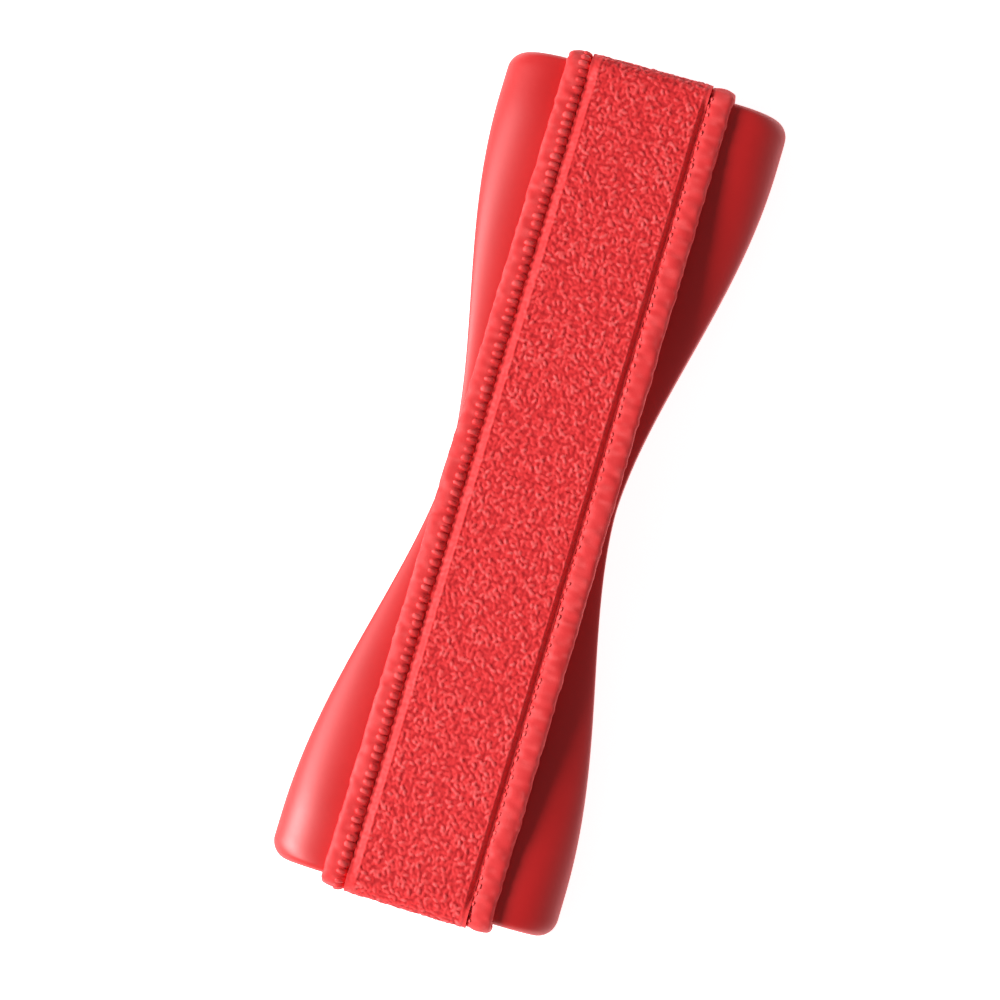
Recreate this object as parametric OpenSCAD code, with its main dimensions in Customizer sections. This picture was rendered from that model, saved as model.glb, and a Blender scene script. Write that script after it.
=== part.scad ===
// Elastic finger grip: an hourglass moulded base with a woven elastic strap laid along it.
// The strap wraps over a bar at each end of the base, and its tails are clamped inside.
// X runs along the strap, Y across it and Z up. The origin is under the middle, on the
// adhesive face.

/* [Base] */
// Length of the moulded base, over its end walls
base_l = 85; // [70:0.2:110]
// Width of the base at its ends
end_w = 29.2; // [26:0.2:36]
// Width of the base at its waist
waist_w = 17.5; // [15:0.1:21]
// Length of the straight-sided stretch at each end
straight_l = 4.5; // [3:0.1:8]
// Length of the level land at each end, where the strap meets the base
land_l = 6; // [4.5:0.1:8]
// How full the flare is between waist and end, where less is fuller
flare_power = 0.85; // [0.7:0.05:1.2]
// Radius of the corners seen from above
corner_r = 2; // [1:0.1:3]
// Thickness of the side and end walls
wall_t = 1.5; // [1:0.1:2]
// Thickness of the roof
roof_t = 1.3; // [1:0.1:1.8]
// Depth of the dip that lets a finger in under the strap
dip_h = 2.2; // [0.8:0.1:2.4]
// Radius of the rounded top and bottom edges of the end walls
bar_r = 0.7; // [0.4:0.05:0.9]

/* [Wings] */
// Height of the upright wall around the foot of the base
side_h = 2.1; // [1.2:0.1:2.1]
// Width of the rolled edge at the waist
waist_roll = 1.6; // [1.2:0.1:2.5]
// Width of the rolled edge at the ends
end_roll = 5.9; // [3:0.1:7]
// How level the rolled edge stays next to the strap, where 2 is an ellipse and more is flatter
roll_flat = 2.4; // [2:0.1:3]
// How it turns down at the rim, where 2 is an ellipse and less is a straighter slope
roll_turn = 1.5; // [1.2:0.1:2]

/* [Bottom plate and pad] */
// Thickness of the bottom plate
plate_t = 1.2; // [1:0.1:2]
// Clearance around the bottom plate
plate_gap = 0.15; // [0.1:0.05:0.3]
// Thickness of the adhesive pad
pad_t = 0.8; // [0.5:0.1:1.5]
// Distance of the pad's edge from the side of the base
pad_inset = 1.8; // [1:0.1:3]
// Diameter of the pegs that locate the bottom plate
peg_d = 2.4; // [1.6:0.1:3]
// Clearance around the pegs and posts
peg_gap = 0.05; // [0.02:0.01:0.1]

/* [Strap] */
// Width of the woven web between the edge cords
web_w = 12.4; // [9:0.1:15]
// Width of each edge cord
cord_w = 2.4; // [1.5:0.1:3]
// Thickness of the strap
strap_t = 1.1; // [0.8:0.05:1.5]
// Clearance between the strap and the base
strap_gap = 0.1; // [0.05:0.05:0.2]
// Length of the finger place, the part of the strap that lifts straight up
finger_l = 20; // [14:0.5:26]
// Gap between the strap's moving stretches
split_gap = 0.25; // [0.15:0.05:0.4]
// Length of each tail under the roof
tail_l = 10; // [9:0.5:11]
// Height of the ribs that press on the tails, at the end walls
clamp_h = 0.9; // [0.9:0.05:1.6]
// Diameter of the posts that pass through the tails
post_d = 1.8; // [1.2:0.1:2.4]
// Distance between the posts of a row
post_pitch = 4.5; // [3.5:0.1:5]

/* [Hidden] */

// Heights, from the adhesive face up
plate_top = pad_t + plate_t;
tail_z = plate_top + strap_gap;
bar_z = tail_z + strap_t + strap_gap;
tail_top = tail_z + strap_t;
land_z = tail_top + clamp_h + roof_t;
strap_z = land_z + strap_gap;
side_z = pad_t + side_h;

// Places along the strap
half_l = base_l / 2;
bar_x = half_l - wall_t;
wrap_x = half_l + strap_gap;
land_x = half_l - land_l;
split_x = land_x;
end_x = split_x + split_gap;
wrap_r = bar_r + strap_gap;
finger_x = finger_l / 2;
tail_x = bar_x - tail_l;
flare_reach = half_l - straight_l;

// Places across the strap
seam = 0.02;
strap_w = web_w + 2 * (seam + cord_w);
slot_gap = 0.3;
slot_w = strap_w + 2 * slot_gap;
cord_y = web_w / 2 + seam + cord_w / 2;

// Clamp ribs and posts, counted inwards from the end wall's inner face
rib_t = 1;
rib_inset = [1.8, 7.4];
post_inset = 5.1;
peg_inset = 8.5;
peg_y = slot_w / 2 + peg_d / 2 + cord_w / 4;
post_short = 0.4;
tab_l = 2;
hole_gap = 0.1;
cavity_h = 0.3;
inner_roll = 0.9;

steps = 28;
corner_steps = 5;
roll_steps = 8;
cord_steps = 8;
bend_steps = 6;
cut = 0.1;

// Share of the flare reached at x, from 0 at the waist to 1 on the straight sides
function flare(x) = pow((1 - cos(180 * min(abs(x) / flare_reach, 1))) / 2, flare_power);

// Distance lost at x to a round of radius r that ends at reach
function round_off(x, reach, r) = let (d = max(0, abs(x) - (reach - r))) r - sqrt(max(0, r * r - d * d));

// Half the base's width at x, before its corners
function half_w(x) = waist_w / 2 + (end_w - waist_w) / 2 * flare(x);

// Width of the rolled edge at x
function roll_w(x) = waist_roll + (end_roll - waist_roll) * flare(x);

// Height of the roof's middle at x: a shallow parabolic dip between two level lands
function roof_z(x) = land_z - dip_h * (1 - pow(min(abs(x) / land_x, 1), 2));

// Stations from one end to the other, closer together in the corners
function stations(reach, r, a, b) = [
    for (i = [0:a]) -reach + r * (1 - cos(90 * i / a)),
    for (i = [1:b - 1]) -(reach - r) + 2 * (reach - r) * i / b,
    for (i = [a:-1:0]) reach - r * (1 - cos(90 * i / a))];

// Outline of the base seen from above, drawn in by inset
module outline(inset) {
    reach = half_l - inset;
    r = max(corner_r - inset, 0.4);
    xs = stations(reach, r, corner_steps, steps);
    side = [for (x = xs) [x, half_w(x) - inset - round_off(x, reach, r)]];
    other = [for (i = [len(side) - 1:-1:0]) [side[i][0], -side[i][1]]];
    polygon(concat(side, other));
}

// The rolled edge from the rim, at angle 0, to the level middle, at 90: its distance in from the
// rim and its height, as shares of its width and of its rise. It is a quarter of a superellipse.
function roll_in(a) = 1 - pow(cos(a), 2 / roll_flat);
function roll_up(a) = pow(sin(a), 2 / roll_turn);

// One cross-section: upright sides from foot to edge, a roll up to top and a level middle
function section(x, half, roll, foot, edge, top) = concat(
    [[x, half, foot]],
    [for (i = [0:roll_steps]) let (a = 90 * i / roll_steps)
        [x, half - roll * roll_in(a), edge + (top - edge) * roll_up(a)]],
    [for (i = [roll_steps:-1:0]) let (a = 90 * i / roll_steps)
        [x, -half + roll * roll_in(a), edge + (top - edge) * roll_up(a)]],
    [[x, -half, foot]]);

// Closed skin through a list of sections that all have the same number of points
module loft(rings) {
    n = len(rings[0]);
    last = len(rings) - 1;
    points = [for (ring = rings) for (p = ring) p];
    sides = [for (k = [0:last - 1]) for (i = [0:n - 1]) let (j = (i + 1) % n)
        each [[k * n + i, (k + 1) * n + i, k * n + j], [k * n + j, (k + 1) * n + i, (k + 1) * n + j]]];
    first_cap = [for (i = [0:n - 1]) i];
    last_cap = [for (i = [n - 1:-1:0]) last * n + i];
    polyhedron(points, concat([first_cap, last_cap], sides), convexity = 4);
}

// Outer form of the base
module base_form() {
    xs = stations(half_l, corner_r, corner_steps, steps);
    loft([for (x = xs) let (lost = round_off(x, half_l, corner_r), low = round_off(x, half_l, bar_r))
        section(x, half_w(x) - lost, roll_w(x) - lost * 0.5, pad_t, side_z, roof_z(x) - low)]);
}

// Hollow under the roof of the front half
module cavity() {
    start = land_x * sqrt(max(0.01, 1 - (land_z - roof_t - plate_top - cavity_h) / dip_h));
    count = 12;
    loft([for (i = [0:count]) let (x = start + (bar_x - start) * i / count)
        section(x, half_w(x) - wall_t, roll_w(x) - inner_roll, plate_top - cut, plate_top,
            roof_z(x) - roof_t)]);
}

// Everything on one side of the middle, and its copy on the other
module both_ends() {
    children();
    mirror([1, 0, 0]) children();
}

module base_shell() {
    color("#d8262b") union() {
        difference() {
            base_form();
            translate([0, 0, pad_t - cut]) linear_extrude(plate_t + cut) outline(wall_t);
            both_ends() {
                cavity();
                strap_slot();
            }
        }
        both_ends() {
            for (inset = rib_inset) clamp_rib(bar_x - inset - rib_t);
            for (i = [-1:1]) post(bar_x - post_inset, i * post_pitch, post_d);
            for (s = [-1, 1]) post(bar_x - peg_inset, s * peg_y, peg_d);
        }
    }
}

// Slot under the bar for the strap, with the bar's lower outer edge rounded over
module strap_slot() {
    translate([bar_x - cut, -slot_w / 2, pad_t - cut]) cube([wall_t + 2 * cut, slot_w, bar_z - pad_t + cut]);
    difference() {
        translate([half_l - bar_r, -slot_w / 2, bar_z - cut]) cube([bar_r + cut, slot_w, bar_r + cut]);
        translate([half_l - bar_r, 0, bar_z + bar_r]) rotate([90, 0, 0])
            cylinder(r = bar_r, h = slot_w + 2 * cut, center = true, $fn = 48);
    }
}

// A rib across the inside of the roof that presses on the strap's tail
module clamp_rib(x) {
    translate([x, -strap_w / 2, tail_top]) cube([rib_t, strap_w, roof_z(x) - roof_t / 2 - tail_top]);
}

// A round post from inside the roof down into the bottom plate
module post(x, y, d) {
    foot = pad_t + post_short;
    translate([x, y, foot]) cylinder(d = d, h = roof_z(x) - roof_t / 2 - foot, $fn = 32);
}

// The row of holes that the posts of one end pass through
module post_holes(z, h, gap) {
    for (i = [-1:1]) translate([bar_x - post_inset, i * post_pitch, z])
        cylinder(d = post_d + 2 * gap, h = h, $fn = 32);
}

module bottom_plate() {
    tab_w = slot_w - 2 * plate_gap;
    color("#b81e24") difference() {
        translate([0, 0, pad_t]) union() {
            linear_extrude(plate_t) outline(wall_t + plate_gap);
            both_ends() translate([bar_x - tab_l, -tab_w / 2, 0])
                cube([wall_t + tab_l - plate_gap, tab_w, plate_t]);
        }
        both_ends() {
            post_holes(pad_t - cut, plate_t + 2 * cut, peg_gap);
            for (s = [-1, 1]) translate([bar_x - peg_inset, s * peg_y, pad_t - cut])
                cylinder(d = peg_d + 2 * peg_gap, h = plate_t + 2 * cut, $fn = 32);
        }
    }
}

module adhesive_pad() {
    color("#2b2b2e") linear_extrude(pad_t) outline(pad_inset);
}

// Side view of the web's end: over the bar, down its outside and back in under it
module end_profile() {
    difference() {
        end_block(wrap_x + strap_t, tail_z, strap_z + strap_t, wrap_r + strap_t, end_x);
        end_block(wrap_x, tail_top, strap_z, wrap_r, end_x - cut);
    }
    translate([tail_x, tail_z]) square([end_x - tail_x + seam, strap_t]);
}

// Rectangle from low to high whose two outer corners have radius r
module end_block(reach, low, high, r, start) {
    translate([start, low]) square([reach - r - start, high - low]);
    translate([reach - r - seam, low + r]) square([r + seam, high - low - 2 * r]);
    for (z = [low + r, high - r]) translate([reach - r, z]) circle(r = r, $fn = 48);
}

module web_end() {
    difference() {
        rotate([90, 0, 0]) linear_extrude(web_w, center = true) end_profile();
        post_holes(tail_z - cut, strap_t + 2 * cut, hole_gap);
    }
}

// Flat stretch of the web between two places along the strap
module web_run(low, high) {
    translate([low, -web_w / 2, strap_z]) cube([high - low, web_w, strap_t]);
}

// Cross-section of an edge cord, its thickness along X and its width along Y
module cord_profile() {
    r = strap_t / 2;
    translate([0, r - cord_w / 2]) square([strap_t, cord_w - strap_t]);
    for (s = [-1, 1]) translate([r, s * (cord_w / 2 - r)]) circle(r = r, $fn = 32);
}

// Straight stretch of a cord between two places along the strap, resting on height z
module cord_run(low, high, z) {
    translate([high, 0, z]) rotate([0, -90, 0]) linear_extrude(high - low) cord_profile();
}

// Points around a cord's cross-section at one place of its path, where outward is the angle of
// the strap's outer side in the side view
function cord_ring(x, z, outward) = let (r = strap_t / 2) [for (side = [1, -1]) for (i = [0:cord_steps])
    let (a = 180 * i / cord_steps - 90 * side, u = -r * sin(a), v = side * (cord_w / 2 - r) + r * cos(a))
    [x + u * cos(outward), v, z + u * sin(outward)]];

// A cord's end: over the bar, down its outside and back in under it
module cord_end() {
    turn_x = wrap_x - wrap_r;
    mid_r = wrap_r + strap_t / 2;
    bend = [for (i = [0:bend_steps]) 90 * i / bend_steps];
    loft(concat(
        [cord_ring(tail_x, tail_z + strap_t / 2, -90)],
        [for (a = bend) cord_ring(turn_x + mid_r * sin(a), tail_top + wrap_r - mid_r * cos(a), a - 90)],
        [for (a = bend) cord_ring(turn_x + mid_r * cos(a), strap_z - wrap_r + mid_r * sin(a), a)],
        [cord_ring(end_x, strap_z + strap_t / 2, 90)]));
}

module strap_centre() {
    color("#e03a3c") web_run(-finger_x, finger_x);
}

module strap_span_front() {
    color("#e03a3c") web_run(finger_x + split_gap, split_x);
}

module strap_span_rear() {
    color("#e03a3c") mirror([1, 0, 0]) web_run(finger_x + split_gap, split_x);
}

module strap_end_front() {
    color("#e03a3c") web_end();
}

module strap_end_rear() {
    color("#e03a3c") mirror([1, 0, 0]) web_end();
}

// An edge cord's stretches, on the left for side 1 and on the right for side -1
module cord_centre(side) {
    color("#f05a5e") translate([0, side * cord_y, 0]) cord_run(-finger_x, finger_x, strap_z);
}

module cord_span(side) {
    color("#f05a5e") translate([0, side * cord_y, 0]) cord_run(finger_x + split_gap, split_x, strap_z);
}

module cord_tip(side) {
    color("#f05a5e") translate([0, side * cord_y, 0]) cord_end();
}

base_shell();
bottom_plate();
adhesive_pad();
strap_centre();
strap_span_front();
strap_span_rear();
strap_end_front();
strap_end_rear();
cord_centre(1);  // cord_left_centre
cord_span(1);  // cord_left_span_front
mirror([1, 0, 0]) cord_span(1);  // cord_left_span_rear
cord_tip(1);  // cord_left_end_front
mirror([1, 0, 0]) cord_tip(1);  // cord_left_end_rear
cord_centre(-1);  // cord_right_centre
cord_span(-1);  // cord_right_span_front
mirror([1, 0, 0]) cord_span(-1);  // cord_right_span_rear
cord_tip(-1);  // cord_right_end_front
mirror([1, 0, 0]) cord_tip(-1);  // cord_right_end_rear
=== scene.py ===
import math

import bmesh
import bpy
import numpy as np
from mathutils import Matrix, Vector


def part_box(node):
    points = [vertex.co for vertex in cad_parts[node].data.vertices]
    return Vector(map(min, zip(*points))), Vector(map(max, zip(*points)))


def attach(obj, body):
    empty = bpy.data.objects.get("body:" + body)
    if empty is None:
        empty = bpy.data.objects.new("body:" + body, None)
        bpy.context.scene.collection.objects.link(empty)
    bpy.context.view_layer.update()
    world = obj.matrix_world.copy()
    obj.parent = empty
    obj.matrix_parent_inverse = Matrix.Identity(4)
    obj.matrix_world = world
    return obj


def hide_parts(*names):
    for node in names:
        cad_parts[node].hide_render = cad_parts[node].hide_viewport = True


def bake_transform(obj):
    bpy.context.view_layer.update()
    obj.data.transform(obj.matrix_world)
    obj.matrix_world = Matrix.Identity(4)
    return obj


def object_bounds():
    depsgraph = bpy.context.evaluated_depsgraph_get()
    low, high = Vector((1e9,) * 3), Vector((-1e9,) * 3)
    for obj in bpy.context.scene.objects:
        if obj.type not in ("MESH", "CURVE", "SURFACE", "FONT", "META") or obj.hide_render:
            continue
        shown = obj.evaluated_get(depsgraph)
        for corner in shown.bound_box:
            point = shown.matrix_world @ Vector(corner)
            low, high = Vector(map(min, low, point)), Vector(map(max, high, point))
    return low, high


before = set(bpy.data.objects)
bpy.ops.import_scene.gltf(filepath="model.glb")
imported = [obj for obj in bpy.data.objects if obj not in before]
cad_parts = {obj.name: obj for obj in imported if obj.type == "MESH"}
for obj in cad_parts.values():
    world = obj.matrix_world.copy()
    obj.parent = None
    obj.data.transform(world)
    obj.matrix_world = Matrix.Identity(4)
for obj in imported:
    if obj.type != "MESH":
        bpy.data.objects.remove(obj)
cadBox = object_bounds()

# Shapes are worked out in millimetres, in the part's own frame: X runs along the strap, Y across it, Z up.
# addMesh turns them into metres.
mm = 0.001
tiny = 1e-6   # millimetres
weld = 1e-7   # metres
nearlyOne = 0.98   # keeps a round from ending in an upright face
uvScale = 0.01   # a cloth map is ten times real size, in metres from millimetres
quarter = math.pi / 2


def boxOf(node):
    low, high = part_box(node)
    return np.array(low) / mm, np.array(high) / mm


# camera
cameraLook = {
    "lean": 16.6,        # degrees that the strap leans to the right of upright in the view
    "towardRear": 5.0,   # degrees that the camera stands off straight above, towards the rear end
    "towardRight": 5.0,  # and towards the strap's right side
    "distance": 240,
    "across": 99.8,      # width of what the view shows, at the object
    "aimRight": -3.2,    # the view's middle, from the object's middle
    "aimUp": -1.5,
}


def placeCamera(look):
    lean = math.radians(look["lean"])
    up = Vector((math.cos(lean), math.sin(lean), 0))
    right = Vector((math.sin(lean), -math.cos(lean), 0))
    towardRear, towardRight = math.radians(look["towardRear"]), math.radians(look["towardRight"])
    back = Vector((-math.tan(towardRear), -math.tan(towardRight), 1)).normalized()
    sideways = up.cross(back).normalized()
    upright = back.cross(sideways)
    middle = (cadBox[0] + cadBox[1]) / 2
    aim = middle + (right * look["aimRight"] + up * look["aimUp"]) * mm
    data = bpy.data.cameras.new("camera")
    data.sensor_width = 36
    data.lens = data.sensor_width * look["distance"] / look["across"]
    camera = bpy.data.objects.new("camera", data)
    bpy.context.scene.collection.objects.link(camera)
    turn = Matrix((sideways, upright, back)).transposed()
    camera.matrix_world = Matrix.LocRotScale(aim + back * look["distance"] * mm, turn.to_quaternion(), None)
    data.clip_start, data.clip_end = 0.01, 5
    bpy.context.scene.camera = camera
    return right


viewRight = placeCamera(cameraLook)
print("camera placed")


# meshes from grids of points
def gridFaces(rows, columns, start=0, around=False):
    # quad (i, j), (i+1, j), (i+1, j+1), (i, j+1) for every cell; around joins the last column to the first
    i, j = np.meshgrid(np.arange(rows - 1), np.arange(columns if around else columns - 1), indexing="ij")
    k = (j + 1) % columns
    return start + np.stack([i * columns + j, (i + 1) * columns + j, (i + 1) * columns + k, i * columns + k],
                            axis=-1).reshape(-1, 4)


def addMesh(name, points, quads, triangles=(), marks=None, uv=None, sharp=35):
    points = np.asarray(points, float).reshape(-1, 3)
    # they face outwards if the volume, the sum of a . ((b - a) x (c - a) + (c - a) x (d - a)), is positive
    a, b, c, d = (points[quads][:, k] for k in range(4))
    volume = np.einsum("ij,ij->", a, np.cross(b - a, c - a) + np.cross(c - a, d - a))
    faces = [list(f) for f in np.asarray(quads).tolist()] + [list(f) for f in np.asarray(triangles).tolist()]
    if volume < 0:
        faces = [f[::-1] for f in faces]
    mesh = bpy.data.meshes.new(name)
    mesh.from_pydata((points * mm).tolist(), [], faces)
    for mark, values in (marks or {}).items():
        layer = mesh.attributes.new(mark, "FLOAT", "POINT")
        layer.data.foreach_set("value", np.asarray(values, np.float32).ravel())
    if uv is not None:
        index = np.zeros(len(mesh.loops), np.int32)
        mesh.loops.foreach_get("vertex_index", index)
        layer = mesh.uv_layers.new(name="run")
        layer.data.foreach_set("uv", np.asarray(uv, np.float32).reshape(-1, 2)[index].ravel())
    mesh.validate()
    mesh.shade_smooth()
    mesh.set_sharp_from_angle(angle=math.radians(sharp))
    piece = bpy.data.objects.new(name, mesh)
    bpy.context.scene.collection.objects.link(piece)
    return piece


# Two grids of the same size, joined all round their borders into one closed body.
def closedSheet(name, upper, lower, marks=None, uv=None, sharp=35):
    rows, columns = upper.shape[:2]
    count = rows * columns
    index = np.arange(count).reshape(rows, columns)
    rim = np.concatenate([index[:, 0], index[-1, 1:], index[-2::-1, -1], index[0, -2::-1]])
    a, b = rim[:-1], rim[1:]
    band = np.stack([b, a, a + count, b + count], axis=1)
    quads = np.concatenate([gridFaces(rows, columns), gridFaces(rows, columns, count)[:, ::-1], band])
    points = np.concatenate([upper.reshape(-1, 3), lower.reshape(-1, 3)])
    return addMesh(name, points, quads, marks=marks, uv=uv, sharp=sharp)


# Rings of the same number of points, joined into closed tubes; each end is a fan to the ring's middle.
# rings is tubes x rings x points x 3, or without the first for one tube.
def closedTube(name, rings, marks=None, uv=None, sharp=35):
    rings = rings if rings.ndim == 4 else rings[None]
    tubes, rows, columns = rings.shape[:3]
    size = rows * columns + 2

    def whole(values):
        middles = values[:, [0, -1]].mean(axis=2).reshape(tubes, 2, -1)
        return np.concatenate([values.reshape(tubes, rows * columns, -1), middles], axis=1)

    around = np.arange(columns)
    ahead = (around + 1) % columns
    lastRing = size - 2 - columns
    first = np.stack([around, ahead, np.full(columns, size - 2)], axis=1)
    last = np.stack([ahead + lastRing, around + lastRing, np.full(columns, size - 1)], axis=1)
    shift = (np.arange(tubes) * size)[:, None, None]
    quads = (gridFaces(rows, columns, around=True)[None] + shift).reshape(-1, 4)
    fans = (np.concatenate([first, last])[None] + shift).reshape(-1, 3)
    marks = {k: whole(np.reshape(v, (tubes, rows, columns, 1))) for k, v in (marks or {}).items()}
    uv = None if uv is None else whole(np.reshape(uv, (tubes, rows, columns, 2)))
    return addMesh(name, whole(rings), quads, fans, marks, uv, sharp)


# Seeded values on a lattice, eased between neighbours: v = mix(mix(a, b, f), mix(c, d, f), g).
def grain(across, along, size, seed):
    wide, long = 97, 101
    lattice = np.random.default_rng(seed).random((wide, long))
    a, b = across / size, along / size
    i, j = np.floor(a).astype(int), np.floor(b).astype(int)
    f, g = a - i, b - j
    f, g = f * f * (3 - 2 * f), g * g * (3 - 2 * g)
    i, iNext, j, jNext = i % wide, (i + 1) % wide, j % long, (j + 1) % long
    near = lattice[i, j] * (1 - f) + lattice[iNext, j] * f
    far = lattice[i, jNext] * (1 - f) + lattice[iNext, jNext] * f
    return near * (1 - g) + far * g


# base moulding
baseLow, baseHigh = boxOf("base_shell")
plateHigh = boxOf("bottom_plate")[1]
padLow, padHigh = boxOf("adhesive_pad")
halfLength, halfEnd, landZ, footZ = baseHigh[0], baseHigh[1], baseHigh[2], baseLow[2]

baseForm = {
    "waist": 17.5,       # width at the waist
    "straight": 4.5,     # straight-sided stretch at each end
    "land": 6.0,         # level stretch at each end
    "flarePower": 0.85,
    "corner": 2.0,       # corner radius seen from above
    "bar": 0.7,          # radius of the end walls' top edges
    "dip": 2.2,          # depth of the finger dip
    "meet": 0.24,        # how softly the dip runs into the lands
    "sideHeight": 2.1,   # upright wall above the foot
    "waistRoll": 1.6,    # width of the rolled edge at the waist
    "endRoll": 5.9,      # and at the ends
    "rollFlat": 2.4,     # how level the rolled edge stays next to the strap, 2 for an ellipse
    "rollTurn": 1.5,     # how it turns down at the rim, less for a straighter slope
    "wall": 1.5,
    "roof": 1.3,
    "innerRoll": 0.9,    # how much narrower the rolled edge is inside
    "footRound": 0.22,
    "rimWear": 0.5,      # how far up from the foot the rim is rubbed
    "endWear": 0.35,     # and how far in from the end walls
    "sharp": 40,         # degrees past which an edge stays hard
    "stations": 220,
    "cornerStations": 18,
    "barStations": 9,
    "nearest": 0.05,     # no station this close to the doubled one
    "rollPoints": 26,
    "footPoints": 5,
    "levelPoints": 8,
}


def flare(x):
    # ((1 - cos(180 x / reach)) / 2) ^ power: 0 at the waist, 1 on the straight sides
    share = np.minimum(np.abs(x) / (halfLength - baseForm["straight"]), 1)
    return ((1 - np.cos(np.pi * share)) / 2) ** baseForm["flarePower"]


def roundOff(x, reach, radius):
    # radius - sqrt(radius^2 - d^2), where d is how far x is into the round that ends at reach
    d = np.clip(np.abs(x) - (reach - radius), 0, radius)
    return radius - np.sqrt(radius * radius - d * d)


def halfWidth(x):
    # from the waist's to the ends' by the flare, as the rolled edge's width below
    return baseForm["waist"] / 2 + (halfEnd - baseForm["waist"] / 2) * flare(x)


def rollWidth(x):
    return baseForm["waistRoll"] + (baseForm["endRoll"] - baseForm["waistRoll"]) * flare(x)


def roofHeight(x):
    # level lands with a shallow parabola d between them, run into each other as (d + sqrt(d^2 + meet^2)) / 2
    share = x / (halfLength - baseForm["land"])
    depth = baseForm["dip"] * (1 - share * share)
    return landZ - (depth + np.sqrt(depth * depth + baseForm["meet"] ** 2)) / 2


def crossSection(x, half, roll, foot, edge, top, footRound):
    # over the rolled edge y = half - roll (1 - cos(a)^(2/flat)) and z = edge + (top - edge) sin(a)^(2/turn),
    # with a quarter circle at the foot and a level middle; the other side is the same with -y
    column = np.ones((len(x), 1))
    x, half, roll, edge, top = (np.reshape(v, (-1, 1)) * column for v in (x, half, roll, edge, top))
    under = np.linspace(-quarter, 0, baseForm["footPoints"])[None]
    turn = np.linspace(0, quarter, baseForm["rollPoints"])[None]
    rollIn = 1 - np.maximum(np.cos(turn), 0) ** (2 / baseForm["rollFlat"])
    rollUp = np.sin(turn) ** (2 / baseForm["rollTurn"])
    level = np.linspace(1, 0, baseForm["levelPoints"] + 1)[None, 1:]
    y = np.concatenate([half - footRound * (1 - np.cos(under)), half - roll * rollIn,
                        (half - roll) * level], axis=1)
    z = np.concatenate([foot + footRound * (1 + np.sin(under)) + 0 * x, edge + (top - edge) * rollUp,
                        top + 0 * level], axis=1)
    y = np.concatenate([y, -y[:, -2::-1]], axis=1)
    z = np.concatenate([z, z[:, -2::-1]], axis=1)
    return np.stack([x + 0 * y, y, z], axis=-1)


def baseStations(form):
    # evenly spaced, but closer together in the corner rounds; the wall's inner face is there twice
    inner = halfLength - form["wall"]
    straight = np.linspace(-(halfLength - form["corner"]), halfLength - form["corner"], form["stations"])
    corner = halfLength - form["corner"] * (1 - np.sin(np.linspace(0, quarter, form["cornerStations"])))
    bar = halfLength - form["bar"] * (1 - np.sin(np.linspace(0, quarter, form["barStations"])))
    ends = np.unique(np.round(np.concatenate([corner, bar]), 4))
    ends = np.sort(np.concatenate([ends[np.abs(ends - inner) > form["nearest"]], [inner, inner]]))
    return np.concatenate([-ends[:0:-1], straight, ends[1:]]), inner


def makeBase(form):
    # the outer skin and the hollow are two grids of sections along X, joined round their borders
    x, inner = baseStations(form)
    lost = roundOff(x, halfLength, form["corner"])
    low = roundOff(x, halfLength, form["bar"])
    edge = footZ + form["sideHeight"]
    outer = crossSection(x, halfWidth(x) - lost, rollWidth(x) - lost / 2, footZ, edge, roofHeight(x) - low,
                         form["footRound"])
    plateTop = plateHigh[2]
    ceiling = np.maximum(roofHeight(x) - form["roof"], plateTop)
    hollow = crossSection(x, halfWidth(x) - form["wall"], rollWidth(x) - form["innerRoll"], footZ, plateTop,
                          ceiling, 0)
    slotHalf = slotWidth / 2
    foot = np.linspace(0, 1, outer.shape[1] // 2 - form["levelPoints"] + 1)
    level = np.linspace(1, 0, form["levelPoints"] + 1)[1:]
    slotY = np.concatenate([np.full(len(foot), slotHalf), slotHalf * level])
    slotZ = np.concatenate([footZ + (slotTop - footZ) * foot, np.full(len(level), slotTop)])
    slotY = np.concatenate([slotY, -slotY[-2::-1]])
    slotZ = np.concatenate([slotZ, slotZ[-2::-1]])
    # past the wall's inner face the hollow is the slot; of the doubled station only the outer one is
    past = np.abs(x) > inner + tiny
    doubled = np.flatnonzero(np.abs(np.abs(x) - inner) < tiny)
    past[doubled[0]] = True
    past[doubled[-1]] = True
    hollow[past, :, 1] = slotY
    hollow[past, :, 2] = slotZ
    depth = outer[..., 2] - footZ
    rim = np.exp(-depth / form["rimWear"]) + np.exp((np.abs(outer[..., 0]) - halfLength) / form["endWear"])
    wear = np.concatenate([np.clip(rim, 0, 1).ravel(), np.zeros(hollow[..., 0].size)])
    piece = closedSheet("base_moulding", outer, hollow, marks={"wear": wear}, sharp=form["sharp"])
    work = bmesh.new()
    work.from_mesh(piece.data)
    bmesh.ops.remove_doubles(work, verts=work.verts, dist=weld)
    bmesh.ops.dissolve_degenerate(work, edges=work.edges, dist=weld)
    work.to_mesh(piece.data)
    work.free()
    piece.data.shade_smooth()
    piece.data.set_sharp_from_angle(angle=math.radians(form["sharp"]))
    return piece


# the strap's path
centreLow, centreHigh = boxOf("strap_centre")
endLow, endHigh = boxOf("strap_end_front")
cordLow, cordHigh = boxOf("cord_left_centre")
strapZ, strapTop = centreLow[2], centreHigh[2]
thickness = strapTop - strapZ
webHalf = centreHigh[1]
tailX, tailLow = endLow[0], endLow[2]
wrapX = endHigh[0] - thickness
tailHigh = tailLow + thickness
wrapRound = baseForm["bar"] + (strapZ - landZ)
slotGap = 0.3
slotWidth = 2 * (cordHigh[1] + slotGap)
slotTop = tailHigh + (strapZ - landZ)

legFlat = wrapX - wrapRound
legTurn = wrapRound * quarter
legDown = strapZ - tailHigh - 2 * wrapRound
legEnds = np.cumsum([legFlat, legTurn, legDown, legTurn])


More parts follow.
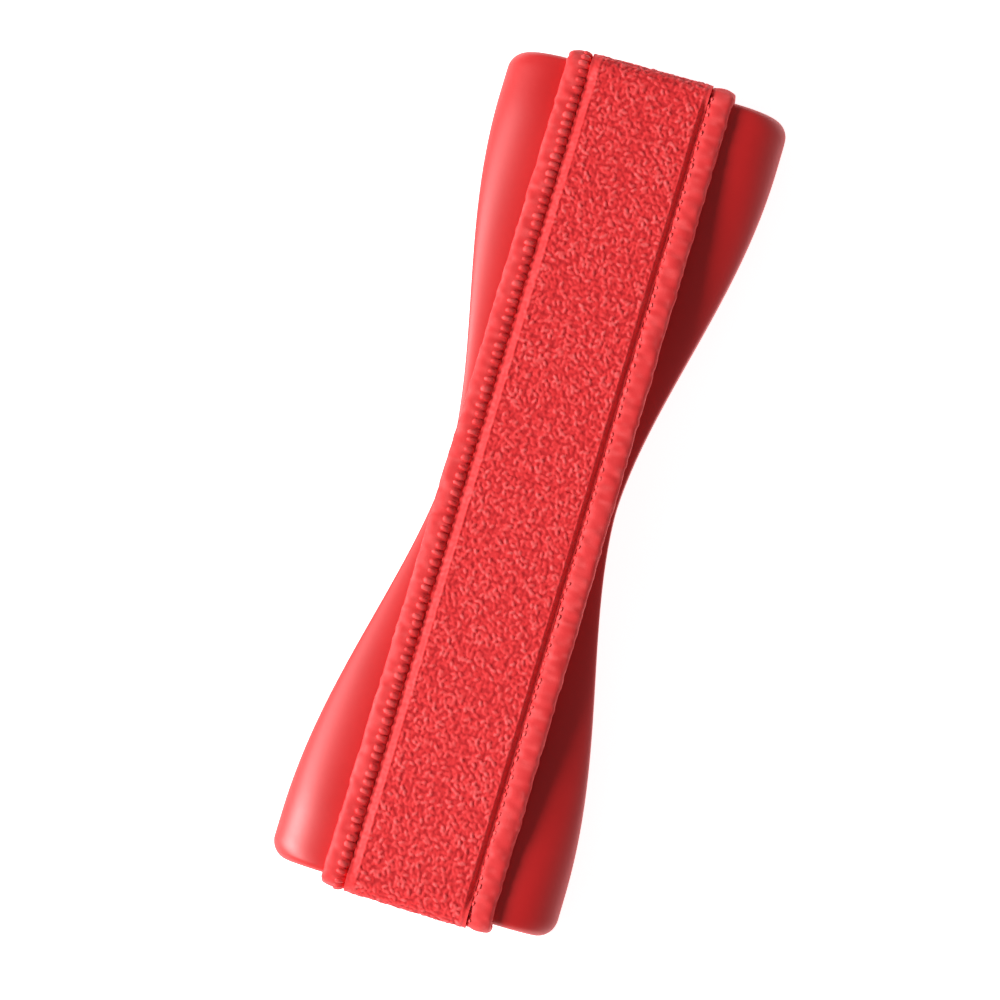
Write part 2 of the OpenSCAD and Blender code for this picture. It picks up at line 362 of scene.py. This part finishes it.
def onStrap(across, along, out):
    # along is the way from the middle on the strap's inner face, which goes flat, round the bar's top
    # corner, down and round its lower corner; out is the height above that face, along (sin t, cos t)
    first = np.clip((along - legEnds[0]) / legTurn, 0, 1) * quarter
    second = np.clip((along - legEnds[2]) / legTurn, 0, 1) * quarter
    flat = np.minimum(along, legFlat)
    down = np.clip(along - legEnds[1], 0, legDown)
    back = np.maximum(along - legEnds[3], 0)
    turned = first + second
    x = flat + wrapRound * np.sin(first) - wrapRound * (1 - np.cos(second)) - back + out * np.sin(turned)
    z = strapZ - wrapRound * (1 - np.cos(first)) - down - wrapRound * np.sin(second) + out * np.cos(turned)
    return np.stack([x, across + 0 * x, z], axis=-1)


barStart, barRows = 0.2, 70


def outside(along, height):
    # the way along the strap at a height above its inner face, longer round the bar by height x angle turned
    first = np.clip((along - legEnds[0]) / legTurn, 0, 1)
    second = np.clip((along - legEnds[2]) / legTurn, 0, 1)
    return along + height * quarter * (first + second)


def stations(count):
    # closer together round the bar, where the outside is stretched
    near = legEnds[0] - barStart
    level = np.linspace(0, near, count, endpoint=False)
    return np.concatenate([level, np.linspace(near, legEnds[3], barRows)])


# Two marks go with each cloth piece: thread is 0 in the gaps and 1 on the yarn's crowns and sets the painted
# shade in the gaps, and pick says how much painted highlight a yarn gets.
evenPick = 0.5

webWeave = {
    "pitchAcross": 0.42,   # one fleck of yarn in each cell of a lattice
    "pitchAlong": 0.5,
    "repeat": (61, 127),   # cells across and along after which the flecks repeat
    "margin": 0.15,        # no fleck is centred closer to its cell's border than this share of the cell
    "long": 0.36,          # half length and half width of a fleck
    "wide": 0.2,
    "lean": 0.8,           # its lean to either side of the strap's run, in radians, and how far that strays
    "stray": 0.6,
    "lowest": 0.3,         # the lowest fleck's height, as a share of the highest's
    "relief": 0.13,        # height of the flecks
    "pebble": 0.07,        # and of the yarn's own roughness, with its two grain sizes
    "pebbleSizes": (0.42, 0.25),
    "selvedge": {"left": 1.05, "right": 0.7},  # border beside the cord, and how much of it slopes
    "slope": {"left": 0.85, "right": 0.5},
    "selvedgeDrop": 0.5,
    "selvedgeWeave": 0.35,  # how much of the weave's relief is left on the border
    "selvedgeThread": 0.75,
    "fade": 0.25,          # width over which it fades, and at the web's very edge
    "edge": 0.3,
    "tightPast": 0.3,      # the groove closes up from this far past the bar's start,
    "tightOver": 1.6,      # over this length,
    "tightLeast": 0.15,    # to this share of its depth
    "sunk": 0.8,           # share of the relief that lies below the strap's thickness
    "underRound": 0.15,
    "underThread": 0.6,
    "bunch": 0.2,          # how much closer together the columns are near the edges
    "rows": 345,
    "columns": 116,
}


def weave(across, along, cloth):
    # a seeded lattice of short leaning flecks, each sqrt(1 - (u/long)^2 - (v/wide)^2) high in its own turned
    # axes; the highest shows, with how much painted highlight that fleck gets
    column = np.floor(across / cloth["pitchAcross"]).astype(int)
    row = np.floor(along / cloth["pitchAlong"]).astype(int)
    cells = cloth["repeat"]
    chance = np.random.default_rng(40).random((5, *cells))
    tallest = np.zeros_like(across)
    shade = np.zeros_like(across)
    first, spread, lowest = cloth["margin"], 1 - 2 * cloth["margin"], cloth["lowest"]
    for i in (-1, 0, 1):
        for j in (-1, 0, 1):
            shiftX, shiftY, side, stray, pick = chance[:, (column + i) % cells[0], (row + j) % cells[1]]
            u = across - (column + i + first + spread * shiftX) * cloth["pitchAcross"]
            v = along - (row + j + first + spread * shiftY) * cloth["pitchAlong"]
            lean = np.where(side > 0.5, 1, -1) * cloth["lean"] + (2 * stray - 1) * cloth["stray"]
            ahead = (v * np.cos(lean) + u * np.sin(lean)) / cloth["long"]
            aside = (u * np.cos(lean) - v * np.sin(lean)) / cloth["wide"]
            bulge = np.sqrt(np.clip(1 - ahead * ahead - aside * aside, 0, 1))
            height = bulge * (lowest + (1 - lowest) * pick)
            shade = np.where(height > tallest, pick, shade)
            tallest = np.maximum(tallest, height)
    coarse, fine = cloth["pebbleSizes"]
    pebble = 0.6 * grain(across, along, coarse, 21) + 0.4 * grain(across, along, fine, 22)
    return cloth["relief"] * tallest + cloth["pebble"] * pebble, tallest, shade


def makeWeb(name, side, cloth):
    # side is 1 for the front half, -1 for the rear. The top is thickness + relief - the shoulder, eased as
    # i^2 (3 - 2 i) into the groove on either side; the underside is rounded at its edges.
    along = stations(cloth["rows"])[:, None]
    share = np.linspace(-1, 1, cloth["columns"])[None]
    bunch = cloth["bunch"]
    across = webHalf * ((1 - bunch) * share + bunch * np.sin(share * quarter)) + 0 * along
    along = along + 0 * across
    real = side * outside(along, thickness)
    raised, thread, pick = weave(across, real, cloth)
    border = np.where(across > 0, cloth["selvedge"]["left"], cloth["selvedge"]["right"])
    slope = np.where(across > 0, cloth["slope"]["left"], cloth["slope"]["right"])
    field = webHalf - border
    into = np.clip((np.abs(across) - field) / slope, 0, 1)
    tight = np.clip((legEnds[0] + cloth["tightPast"] - along) / cloth["tightOver"], cloth["tightLeast"], 1)
    shoulder = cloth["selvedgeDrop"] * into * into * (3 - 2 * into) * tight
    ease = np.clip((field - np.abs(across)) / cloth["fade"] + 0.5, 0, 1)
    ease = cloth["selvedgeWeave"] + (1 - cloth["selvedgeWeave"]) * ease * ease * (3 - 2 * ease)
    ease = ease * np.clip((webHalf - np.abs(across)) / cloth["edge"], 0, 1)
    whole = cloth["relief"] + cloth["pebble"]
    out = thickness + (raised - cloth["sunk"] * whole) * ease - shoulder
    edge = np.clip((np.abs(across) - (webHalf - cloth["underRound"])) / cloth["underRound"], 0, 1)
    under = cloth["underRound"] * (1 - np.sqrt(1 - edge * edge * nearlyOne))
    upper = onStrap(across, along, out)
    lower = onStrap(across, along, under)
    upper[..., 0] *= side
    lower[..., 0] *= side
    thread = thread * ease + cloth["selvedgeThread"] * (1 - ease)
    pick = pick * ease + evenPick * (1 - ease)
    marks = {"thread": np.concatenate([thread.ravel(), np.full(thread.size, cloth["underThread"])]),
             "pick": np.concatenate([pick.ravel(), np.full(pick.size, evenPick)])}
    run = np.stack([across, real], axis=-1).reshape(-1, 2) * uvScale
    return closedSheet(name, upper, lower, marks=marks, uv=np.concatenate([run, run]), sharp=80)


left, right = 1, -1
edgeCord = {
    "height": 0.97,
    "rungPitch": 0.9,
    "rungDepth": {left: 0.2, right: 0.05},
    "rungShade": {left: 1.0, right: 0.4},  # painted shade between the rungs, deeper on the left cord, whose inner flank faces away from the light
    "rungPower": 0.6,     # less for wider gaps between them
    "rungAcross": 0.8,    # how much of the cut goes into the cord's width
    "flank": 28,          # degrees from the inner edge up to the middle of the rungs
    "flankTurn": 1.45,    # they run out at a right angle divided by this from there
    "flankPower": 1.5,
    "flankUnder": 320,    # degrees past which they show below the inner edge
    "squareness": 0.8,    # power of the superellipse, 1 for an ellipse
    "rough": 0.13,
    "roughSize": 0.6,
    "roughAround": 0.8,   # millimetres of grain for a radian round the section
    "wander": 0.07,       # how far the outer edge wanders
    "wanderSize": 2.6,
    "pickSize": 0.5,
    "rows": 420,
    "points": 28,
}


def makeCord(name, hand, side, cord):
    # the section is a superellipse cos(a)^s, sin(a)^s, with its angle from the inner edge over the crown
    # to the outer edge; rungs (1 - cos(2 pi along / pitch)) / 2 stand on its inner flank
    middle = (cordLow[1] + cordHigh[1]) / 2
    half = (cordHigh[1] - cordLow[1]) / 2
    along = stations(cord["rows"])[:, None]
    angle = np.linspace(0, 2 * np.pi, cord["points"], endpoint=False)[None]
    along = along + 0 * angle
    angle = angle + 0 * along
    real = side * outside(along, cord["height"])
    rung = 0.5 - 0.5 * np.cos(2 * np.pi * real / cord["rungPitch"])
    flank = np.cos((angle - math.radians(cord["flank"])) * cord["flankTurn"])
    flank = np.clip(flank, 0, 1) ** cord["flankPower"]
    flank = np.where((angle > quarter) & (angle < math.radians(cord["flankUnder"])), 0, flank)
    between = (1 - rung ** cord["rungPower"]) * flank
    cut = cord["rungDepth"][hand] * between
    rough = cord["rough"] * (grain(angle * cord["roughAround"], real, cord["roughSize"], 31 + hand) - 0.5)
    cosine, sine = np.cos(angle), np.sin(angle)
    half = half - cut * cord["rungAcross"] + rough
    reach = np.sign(cosine) * np.abs(cosine) ** cord["squareness"] * half
    rise = np.sign(sine) * np.abs(sine) ** cord["squareness"] * (cord["height"] / 2 - cut + rough)
    wander = cord["wander"] * (grain(0 * real, real, cord["wanderSize"], 40 + hand) - 0.5)
    across = hand * (middle - reach + wander * (reach < 0))
    rings = onStrap(across, along, cord["height"] / 2 + rise)
    rings[..., 0] *= side
    # painted shade between the rungs; pick sets how much painted highlight each spot gets
    marks = {"thread": 1 - between * cord["rungShade"][hand], "pick": grain(angle, real, cord["pickSize"], 3)}
    uv = np.stack([angle, real], axis=-1) * uvScale
    return closedTube(name, rings, marks=marks, uv=uv, sharp=70)


# stitches over the groove between web and cord
stitchLook = {
    "pitch": 0.9,
    "thick": 0.36,
    "wide": 0.56,
    "from": {left: 0.0, right: -0.72},  # where a stitch starts, as a share of the half width from the crown
    "to": -1.05,        # and where it ends, in the groove
    "strayAcross": 0.2,
    "strayPitch": 0.3,
    "strayWide": 0.5,
    "lean": 0.1,
    "sink": 0.2,        # how far its ends go down into the cord
    "leastWide": 0.05,  # square of the narrowest width, as a share
    "thread": (0.75, 0.25),  # on its flanks, and how much more on its crown and less underneath, so the top gets more painted highlight and the underside a touch of painted shade
    "pick": (0.5, 0.7),      # the least painted highlight share, and how far it varies
    "profileRows": 300,
    "rows": 6,
    "points": 7,
}


def makeStitches(name, hand, side, cord, look):
    # each stitch lies on the cord, h/2 + h/2 sqrt(1 - q^2) high at the share q of the cord's half width,
    # down into the groove; its own section is an ellipse that narrows at both ends
    middle = (cordLow[1] + cordHigh[1]) / 2
    half = (cordHigh[1] - cordLow[1]) / 2
    face = stations(look["profileRows"])
    surface = outside(face, cord["height"])
    count = int(surface[-1] / look["pitch"])
    number = np.arange(count)[:, None, None]
    chance = np.random.default_rng(70 + 2 * hand + side).random((3, count, 1, 1))
    way = np.linspace(0, 1, look["rows"])[None, :, None]
    angle = np.linspace(0, 2 * np.pi, look["points"], endpoint=False)[None, None]
    first, last = look["from"][hand], look["to"]
    q = first + (last - first) * way + look["strayAcross"] * (chance[0] - 0.5)
    narrow = np.sqrt(np.clip(1 - (2 * way - 1) ** 4, look["leastWide"], 1))
    height = cord["height"] / 2 * (1 + np.sqrt(np.clip(1 - q * q, 0, 1))) - look["sink"] * (1 - narrow)
    across = hand * (middle + half * q) + 0 * angle
    along = (number + 0.5 + look["strayPitch"] * (chance[1] - 0.5)) * look["pitch"] + look["lean"] * way
    along = along + look["wide"] / 2 * narrow * np.cos(angle) * (1 + look["strayWide"] * (chance[2] - 0.5))
    along = np.interp(along, surface, face)
    out = height + look["thick"] / 2 * narrow * np.sin(angle)
    along, out, across = (v + 0 * (way + angle + number) for v in (along, out, across))
    rings = onStrap(across, along, out)
    rings[..., 0] *= side
    # painted highlight on the stitch's top and painted shade under it, by the thread mark
    thread = look["thread"][0] + look["thread"][1] * np.sin(angle) + 0 * along
    pick = look["pick"][0] + look["pick"][1] * chance[0] + 0 * along
    uv = np.stack([across, side * along], axis=-1) * uvScale
    return closedTube(name, rings, marks={"thread": thread, "pick": pick}, uv=uv, sharp=70)


# tails under the roof
tailForm = {"acrossPower": 0.25, "upPower": 0.4, "thread": 0.6, "rows": 40, "points": 32}


def makeTail(name, side, form):
    # a flat strip of section cos(a)^p by sin(a)^q, from the lower turn to the tail's cut end
    length = legEnds[3] + (legFlat - tailX)
    along = np.linspace(legEnds[3], length, form["rows"])[:, None]
    angle = np.linspace(0, 2 * np.pi, form["points"], endpoint=False)[None]
    cosine, sine = np.cos(angle), np.sin(angle)
    reach = np.sign(cosine) * np.abs(cosine) ** form["acrossPower"] * cordHigh[1]
    rise = thickness / 2 * (1 + np.sign(sine) * np.abs(sine) ** form["upPower"])
    rings = onStrap(reach + 0 * along, along + 0 * angle, rise + 0 * along)
    rings[..., 0] *= side
    shape = rings.shape[:2]
    marks = {"thread": np.full(shape, form["thread"]), "pick": np.full(shape, evenPick)}
    uv = np.stack([reach + 0 * along, along + 0 * angle], axis=-1) * uvScale
    return closedTube(name, rings, marks=marks, uv=uv, sharp=60)


padForm = {
    "edge": 0.14,
    "corner": 0.7,
    "rough": 0.03,       # how far the cut edge strays, and how finely
    "roughSize": 0.5,
    "stations": 160,
    "cornerStations": 10,
    "edgePoints": 5,
    "across": 16,
}


def makePad(form):
    # rings with quarter-circle edges and a row of points over each level face, drawn in at the corners
    inset = halfLength - padHigh[0]
    reach = padHigh[0]
    bulk = np.linspace(-(reach - form["corner"]), reach - form["corner"], form["stations"])
    end = reach - form["corner"] * (1 - np.sin(np.linspace(0, quarter, form["cornerStations"])))
    x = np.concatenate([-end[:0:-1], bulk, end[1:]])[:, None]
    half = halfWidth(x) - inset - roundOff(x, reach, form["corner"]) - form["edge"]
    turn = np.linspace(0, quarter, form["edgePoints"])
    one = np.ones(form["edgePoints"])
    level = np.linspace(1, -1, form["across"])[1:-1] * nearlyOne
    middle, rise = (padLow[2] + padHigh[2]) / 2, (padHigh[2] - padLow[2]) / 2 - form["edge"]
    share = np.concatenate([one, level, -one, -one, -level, one])
    cosine, sine = np.cos(turn), np.sin(turn)
    out = form["edge"] * np.concatenate([cosine, 0 * level, -cosine[::-1], -cosine, 0 * level, cosine[::-1]])
    up = form["edge"] * np.concatenate([sine, 1 + 0 * level, sine[::-1]])
    up = np.concatenate([rise + up, -rise - up])
    y = half * share + out
    z = middle + up + 0 * y
    # the eighth power keeps the points of the level faces nearly still
    stray = grain(3 * share + 0 * y, x + 0 * y, form["roughSize"], 61) - 0.5
    y = y + form["rough"] * stray * np.abs(share) ** 8
    return closedTube("foam_pad", np.stack([x + 0 * y, y, z], axis=-1), sharp=50)


base = makeBase(baseForm)
print("base moulding made")

ends = {1: "front", -1: "rear"}
hands = {left: "left", right: "right"}
webs = {side: makeWeb(f"web_{end}", side, webWeave) for side, end in ends.items()}
cords, stitches = {}, {}
for hand, word in hands.items():
    for side, end in ends.items():
        cords[hand, side] = makeCord(f"cord_{word}_{end}", hand, side, edgeCord)
for hand, word in hands.items():
    for side, end in ends.items():
        stitches[hand, side] = makeStitches(f"stitches_{word}_{end}", hand, side, edgeCord, stitchLook)
tails = {side: makeTail(f"tail_{end}", side, tailForm) for side, end in ends.items()}
pad = makePad(padForm)
print("strap and pad made")


# finishes
class Wire:
    # one value or colour in a material's tree; arithmetic on it adds the Math nodes
    def __init__(self, finish, socket):
        self.finish, self.socket = finish, socket

    def maths(self, operation, *values):
        return self.finish.add("ShaderNodeMath", {"operation": operation}, dict(enumerate(values)))

    def __add__(self, other):
        return self.maths("ADD", self, other)

    def __radd__(self, other):
        return self.maths("ADD", other, self)

    def __sub__(self, other):
        return self.maths("SUBTRACT", self, other)

    def __rsub__(self, other):
        return self.maths("SUBTRACT", other, self)

    def __mul__(self, other):
        return self.maths("MULTIPLY", self, other)

    def __rmul__(self, other):
        return self.maths("MULTIPLY", other, self)

    def __pow__(self, other):
        return self.maths("POWER", self, other)


class Finish:
    def __init__(self, holder, shader="Principled BSDF", place="Object", fixed=None):
        holder.use_nodes = True
        self.material = holder
        self.nodes, self.links = holder.node_tree.nodes, holder.node_tree.links
        self.shader = self.nodes[shader]
        self.place = self.add("ShaderNodeTexCoord", output=place)
        for socket, value in (fixed or {}).items():
            self.shader.inputs[socket].default_value = value

    def add(self, kind, settings=None, values=None, output=0):
        node = self.nodes.new(kind)
        for key, value in (settings or {}).items():
            if key == "stops":
                ramp = node.color_ramp.elements
                while len(ramp) < len(value):
                    ramp.new(0.5)
                for stop, (where, colour) in zip(ramp, value):
                    stop.position, stop.color = where, (*colour, 1)
            else:
                setattr(node, key, value)
        for key, value in (values or {}).items():
            if isinstance(value, Wire):
                self.links.new(value.socket, node.inputs[key])
            else:
                node.inputs[key].default_value = value
        return Wire(self, node.outputs[output])

    def noise(self, size, detail=2, roughness=0.5, vector=None):
        # size is the pattern's coarsest grain in millimetres
        return self.add("ShaderNodeTexNoise", {},
                        {"Vector": vector or self.place, "Scale": 1 / (size * mm), "Detail": detail,
                         "Roughness": roughness})

    def mark(self, name):
        return self.add("ShaderNodeAttribute", {"attribute_name": name}, output="Fac")

    def blend(self, share, first, second):
        return self.add("ShaderNodeMix", {"data_type": "RGBA"},
                        {0: share, 6: first if isinstance(first, Wire) else (*first, 1),
                         7: second if isinstance(second, Wire) else (*second, 1)}, output=2)

    def set(self, **sockets):
        for key, wire in sockets.items():
            self.links.new(wire.socket, self.shader.inputs[key.replace("_", " ")])
        return self.material

    def bump(self, height, depth, strength=1.0):
        # depth in millimetres
        return self.add("ShaderNodeBump", {},
                        {"Strength": strength, "Distance": depth * mm, "Height": height})


def newFinish(name, fixed):
    return Finish(bpy.data.materials.new(name), fixed=fixed)


basePaint = {
    "deep": (0.58, 0.005, 0.006),
    "main": (0.71, 0.008, 0.009),
    "rubbed": (0.76, 0.03, 0.03),
    "cloud": 9,        # sizes of the patches, specks and moulding swirls
    "speck": 0.5,
    "swirl": 2.2,
    "rough": 0.38,
    "bump": 0.012,
}


def basePlastic(look):
    f = newFinish("gloss_red_plastic", {"IOR": 1.46, "Specular IOR Level": 0.85})
    cloud, speck, swirl = f.noise(look["cloud"], 3), f.noise(look["speck"], 2), f.noise(look["swirl"], 2)
    wear = f.mark("wear")
    colour = f.blend(cloud * 0.7 + speck * 0.2, look["deep"], look["main"])
    colour = f.blend(wear * (0.35 + speck * 0.5), colour, look["rubbed"])
    rough = look["rough"] + cloud * 0.08 + speck * 0.06 + wear * 0.12
    return f.set(Base_Color=colour, Roughness=rough,
                 Normal=f.bump(swirl * 0.6 + speck * 0.4, look["bump"], 0.5))


webYarn = {
    # painted shade in the gaps between the yarns
    "gap": (0.60, 0.009, 0.013),
    "main": (0.86, 0.015, 0.018),
    # painted highlight on the yarns' crowns
    "highlight": (0.95, 0.13, 0.13),
    "mainFrom": 0.55,   # thread from which the painted gap shade is gone and the main colour is full
    "highlightLeast": 0.08,   # how much painted highlight there is on every yarn, by its pick and in patches
    "highlightPick": 0.75,
    "pickPower": 2.5,
    "highlightPatch": 0.2,
    "strand": 1.1,      # sizes on the map, ten times those of the cloth
    "patch": 16,
    "rough": 0.62,
    "fuzz": 0.02,
}
cordYarn = {
    **webYarn,
    # painted shade in the gaps between the yarns
    "gap": (0.40, 0.006, 0.009),
    "main": (0.80, 0.021, 0.024),
    # painted highlight on the yarns' crowns
    "highlight": (0.94, 0.09, 0.09),
    "fuzz": 0.025,
}


def clothFinish(name, yarn):
    f = newFinish(name, {"IOR": 1.45, "Sheen Weight": 0.03, "Sheen Roughness": 0.4,
                         "Sheen Tint": (1, 0.5, 0.5, 1)})
    run = f.add("ShaderNodeUVMap", {"uv_map": "run"})
    thread, pick = f.mark("thread"), f.mark("pick")
    strand, patch = f.noise(yarn["strand"], 2, vector=run), f.noise(yarn["patch"], 2, vector=run)
    # painted shade in the gaps between yarns, by the thread mark, and a painted highlight on the yarn
    # crowns, by pick and in patches
    depth = f.add("ShaderNodeMapRange", {"interpolation_type": "SMOOTHSTEP"},
                  {0: thread, 1: 0.0, 2: yarn["mainFrom"]})
    colour = f.blend(depth, yarn["gap"], yarn["main"])
    highlight = yarn["highlightLeast"] + pick ** yarn["pickPower"] * yarn["highlightPick"] + patch * yarn["highlightPatch"]
    colour = f.blend(thread * highlight * (0.5 + strand), colour, yarn["highlight"])
    rough = yarn["rough"] + strand * 0.2 - thread * 0.12
    return f.set(Base_Color=colour, Roughness=rough, Normal=f.bump(strand, yarn["fuzz"], 0.7))


plateLook = {
    "deep": (0.42, 0.010, 0.012),
    "main": (0.55, 0.014, 0.016),
    "spark": 0.22,     # grain of the textured mould
    "cloud": 6,
    "rough": 0.5,
    "bump": 0.02,
}


def platePlastic(look):
    f = newFinish("matt_red_plastic", {"IOR": 1.48})
    spark, cloud = f.noise(look["spark"], 2), f.noise(look["cloud"], 2)
    colour = f.blend(cloud * 0.8, look["deep"], look["main"])
    return f.set(Base_Color=colour, Roughness=look["rough"] + spark * 0.2,
                 Normal=f.bump(spark, look["bump"], 0.7))


foamLook = {
    "cell": (0.012, 0.012, 0.014),
    "wall": (0.05, 0.05, 0.055),
    "cellSize": 0.28,
    "cloud": 3,
    "rough": 0.82,
    "bump": 0.06,
}


def foamFinish(look):
    f = newFinish("dark_foam", {"IOR": 1.4})
    cells = f.add("ShaderNodeTexVoronoi", {"feature": "F1"},
                  {"Vector": f.place, "Scale": 1 / (look["cellSize"] * mm)})
    cloud = f.noise(look["cloud"], 3)
    colour = f.blend(cells * 0.9 + cloud * 0.3, look["cell"], look["wall"])
    return f.set(Base_Color=colour, Roughness=look["rough"] + cloud * 0.15,
                 Normal=f.bump(1 - cells, look["bump"], 0.9))


def dress(piece, material, body, slot, *nodes):
    piece.data.materials.clear()
    piece.data.materials.append(material)
    if body:
        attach(piece, body)
    if nodes:
        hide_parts(*nodes)


webCloth = clothFinish("woven_elastic", webYarn)
cordCloth = clothFinish("whipped_edge", cordYarn)
dress(base, basePlastic(basePaint), "base", "base_plastic", "base_shell")
dress(pad, foamFinish(foamLook), "base", "foam", "adhesive_pad")

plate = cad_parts["bottom_plate"]
plate.data.materials.clear()
plate.data.materials.append(platePlastic(plateLook))

# The strap's cloth pieces take the place of its CAD pieces and stay where they are built; the tails go with
# the base.
for side, end in ends.items():
    dress(webs[side], webCloth, None, "web", f"strap_end_{end}", f"strap_span_{end}",
          *(["strap_centre"] if side > 0 else []))
    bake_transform(webs[side])
    dress(tails[side], webCloth, "base", "web")
    edges = []
    for hand, word in hands.items():
        cord = cords[hand, side]
        dress(cord, cordCloth, None, "edge_cord", f"cord_{word}_end_{end}", f"cord_{word}_span_{end}",
              *([f"cord_{word}_centre"] if side > 0 else []))
        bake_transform(cord)
        row = stitches[hand, side]
        dress(row, cordCloth, None, "edge_cord")
        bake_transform(row)
        edges += [cord, row]
print("finishes on, pieces on their bodies")


studio = {
    "key": 3.6,          # watts
    "keySize": 0.24,     # metres
    "keyDistance": 0.5,
    "keyHeight": 34,     # degrees above the floor, to the left of the view
    "low": 0.5,          # how bright the surroundings are at the horizon and straight above
    "overhead": 0.13,
    "fades": (0.1, 0.85),  # between these heights of the sky, 0 at the horizon and 1 above
    "floor": 0.9,        # its grey, and how much darker its patches are
    "floorPatch": 0.97,
    "patchSize": 60,     # millimetres
    "floorGlow": 0.85,
    "floorSize": 3.0,    # metres
    "floorDrop": 0.02,   # millimetres, just clear of the pad's underside
}


def paleFloor(look):
    f = newFinish("pale_floor", {"Roughness": 0.9, "Specular IOR Level": 0.0, "Emission Color": (1, 1, 1, 1),
                                 "Emission Strength": look["floorGlow"]})
    shade = f.noise(look["patchSize"], 2)
    f.set(Base_Color=f.blend(shade, (look["floor"],) * 3, (look["floor"] * look["floorPatch"],) * 3))
    size, level = look["floorSize"], -look["floorDrop"] * mm
    mesh = bpy.data.meshes.new("floor")
    corners = [(-size, -size, level), (size, -size, level), (size, size, level), (-size, size, level)]
    mesh.from_pydata(corners, [], [(0, 1, 2, 3)])
    floor = bpy.data.objects.new("floor", mesh)
    bpy.context.scene.collection.objects.link(floor)
    mesh.materials.append(f.material)


def softbox(name, direction, distance, size, power):
    data = bpy.data.lights.new(name, "AREA")
    data.shape, data.size, data.energy = "DISK", size, power
    lamp = bpy.data.objects.new(name, data)
    bpy.context.scene.collection.objects.link(lamp)
    direction = direction.normalized()
    lamp.matrix_world = Matrix.LocRotScale(direction * distance, direction.to_track_quat("Z", "Y"), None)


def lightStudio(look):
    height = math.radians(look["keyHeight"])
    toKey = -viewRight * math.cos(height) + Vector((0, 0, math.sin(height)))
    softbox("key", toKey, look["keyDistance"], look["keySize"], look["key"])
    # the surroundings are bright at the horizon and dim overhead, so that level faces mirror little of them
    sky = Finish(bpy.data.worlds.new("studio"), shader="Background", place="Generated",
                 fixed={"Color": (1, 1, 1, 1)})
    rise = sky.add("ShaderNodeSeparateXYZ", values={"Vector": sky.place}, output="Z")
    glow = sky.add("ShaderNodeMapRange", {"interpolation_type": "SMOOTHSTEP"},
                   {0: rise, 1: look["fades"][0], 2: look["fades"][1], 3: look["low"], 4: look["overhead"]})
    bpy.context.scene.world = sky.set(Strength=glow)
    bpy.context.scene.view_settings.view_transform = "Standard"


paleFloor(studio)
lightStudio(studio)
print("floor and light placed")
